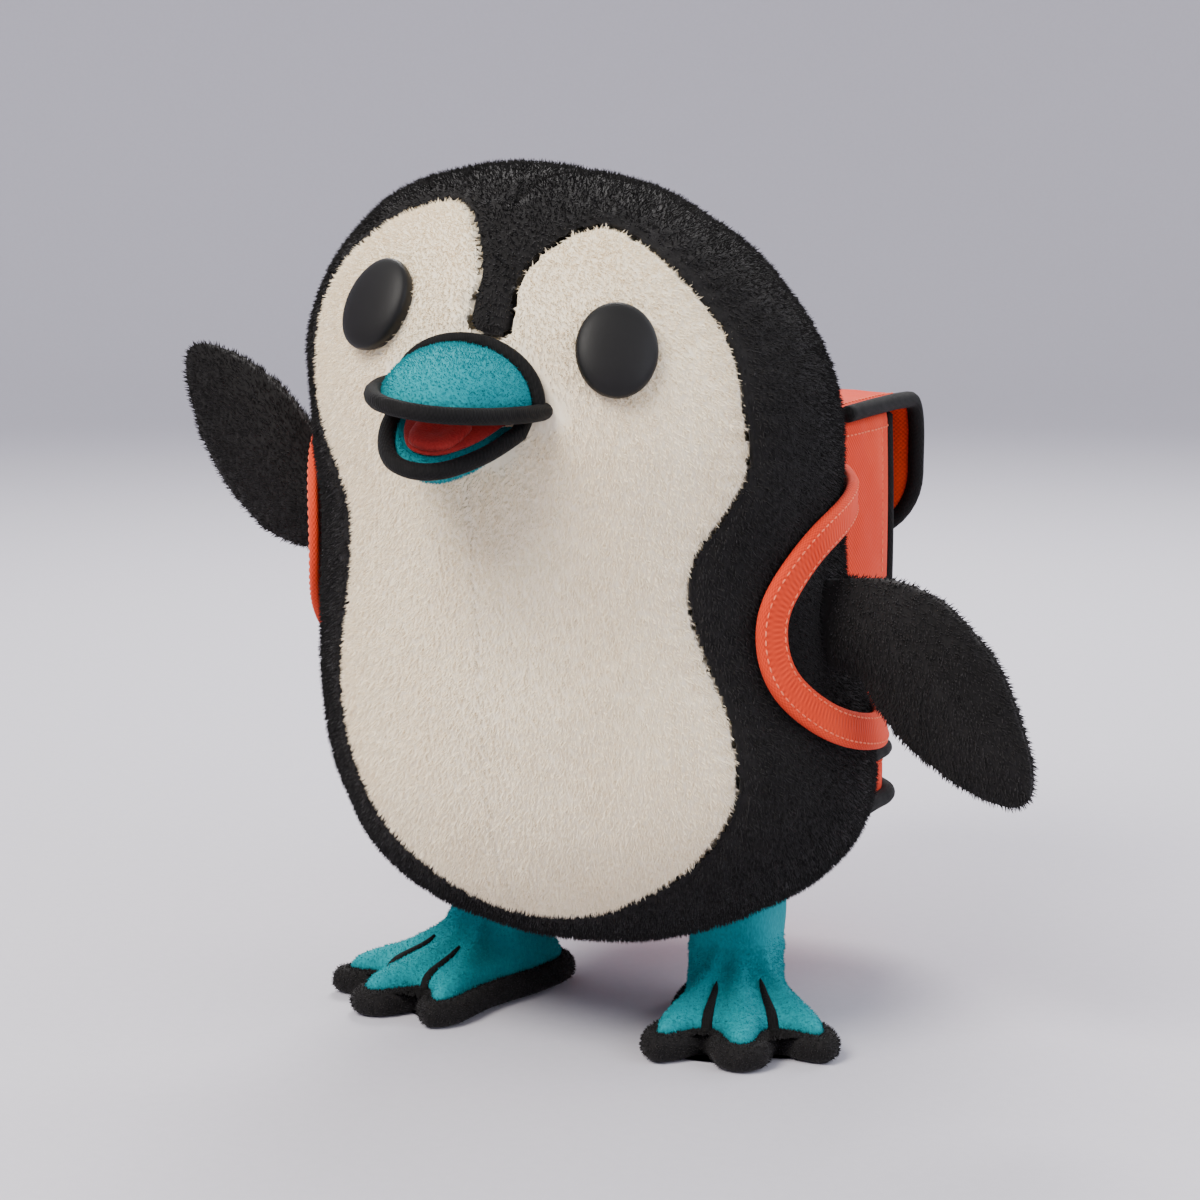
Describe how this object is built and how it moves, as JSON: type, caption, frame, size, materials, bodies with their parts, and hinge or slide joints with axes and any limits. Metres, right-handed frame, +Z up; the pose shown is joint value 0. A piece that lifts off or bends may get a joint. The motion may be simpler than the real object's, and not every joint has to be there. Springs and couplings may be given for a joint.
{
  "type": "plush penguin",
  "caption": "Upright plush penguin with a tipped head, open beak, sprung wings, turning legs and a small rucksack with a hinged flap.",
  "frame": {"origin": "on the floor, at the middle of the box that holds the whole toy at rest", "axes": "+Z up, the penguin faces -Y, +X towards its left side"},
  "size_m": [0.3246, 0.3032, 0.296],
  "materials": {
    "black_plush": "short pile",
    "cream_plush": "short pile",
    "teal_fleece": "brushed fleece",
    "orange_canvas": "plain weave",
    "red_felt": "felt",
    "black_cord": "covered piping",
    "fibrefill": "loose fibre",
    "pouch_cloth": "non-woven",
    "black_plastic": "satin",
    "white_plastic": "moulded"
  },
  "bodies": {
    "torso": {"bag_band_lower": "black_cord", "bag_band_upper": "black_cord", "bag_base_piping": "black_cord", "bag_piping_left": "black_cord", "bag_piping_right": "black_cord", "bag_pocket": "orange_canvas", "bag_shell": "orange_canvas", "eye_left": "black_plastic", "eye_right": "black_plastic", "eye_washer_left": "white_plastic", "eye_washer_right": "white_plastic", "hip_lock_left": "white_plastic", "hip_lock_right": "white_plastic", "strap_left": "orange_canvas", "strap_right": "orange_canvas", "torso_back_left": "black_plush", "torso_back_right": "black_plush", "torso_base": "black_plush", "torso_front": "cream_plush", "torso_stuffing": "fibrefill", "bead_bag": "pouch_cloth", "beak_upper": "teal_fleece", "beak_upper_piping": "black_cord", "mouth_lining_upper": "red_felt", "pocket_binding": "black_cord", "snap_socket": "black_plastic"},
    "wing_left": {"wing_left_front": "black_plush", "wing_left_back": "black_plush", "wing_left_stuffing": "fibrefill"},
    "wing_right": {"wing_right_front": "black_plush", "wing_right_back": "black_plush", "wing_right_stuffing": "fibrefill"},
    "leg_left": {"leg_left_cover": "teal_fleece", "leg_left_stuffing": "fibrefill", "foot_left_pad": "black_plush", "foot_left_insole": "fibrefill", "hip_disc_left": "white_plastic"},
    "leg_right": {"leg_right_cover": "teal_fleece", "leg_right_stuffing": "fibrefill", "foot_right_pad": "black_plush", "foot_right_insole": "fibrefill", "hip_disc_right": "white_plastic"},
    "jaw": {"beak_lower": "teal_fleece", "beak_lower_piping": "black_cord", "mouth_lining_lower": "red_felt", "tongue": "red_felt"},
    "bag_lid": {"bag_flap": "orange_canvas", "flap_piping": "black_cord", "snap_cap": "black_plastic"}
  },
  "joints": [
    {"name": "wing_left_swing", "type": "hinge", "parent": "torso", "child": "wing_left", "pos_m": [0.11206, -0.01288, 0.14553], "axis": [0, -1, 0], "range_deg": [-5, 100], "stiffness_Nm_per_rad": 0.03},
    {"name": "wing_right_swing", "type": "hinge", "parent": "torso", "child": "wing_right", "pos_m": [-0.11307, -0.01288, 0.17447], "axis": [0, 1, 0], "range_deg": [-100, 10], "stiffness_Nm_per_rad": 0.03},
    {"name": "hip_left_turn", "type": "hinge", "parent": "torso", "child": "leg_left", "pos_m": [0.0495, 0.00538, 0.04], "axis": [1, 0, 0], "range_deg": [-25, 18]},
    {"name": "hip_right_turn", "type": "hinge", "parent": "torso", "child": "leg_right", "pos_m": [-0.0445, 0.00538, 0.04], "axis": [1, 0, 0], "range_deg": [-25, 18]},
    {"name": "jaw_swing", "type": "hinge", "parent": "torso", "child": "jaw", "pos_m": [0.00404, -0.11216, 0.21974], "axis": [-0.9863, -0.0523, 0.1562], "range_deg": [-6, 14], "stiffness_Nm_per_rad": 0.01},
    {"name": "bag_lid_hinge", "type": "hinge", "parent": "torso", "child": "bag_lid", "pos_m": [0.0025, 0.07188, 0.2062], "axis": [1, 0, 0], "range_deg": [0, 95]}
  ]
}
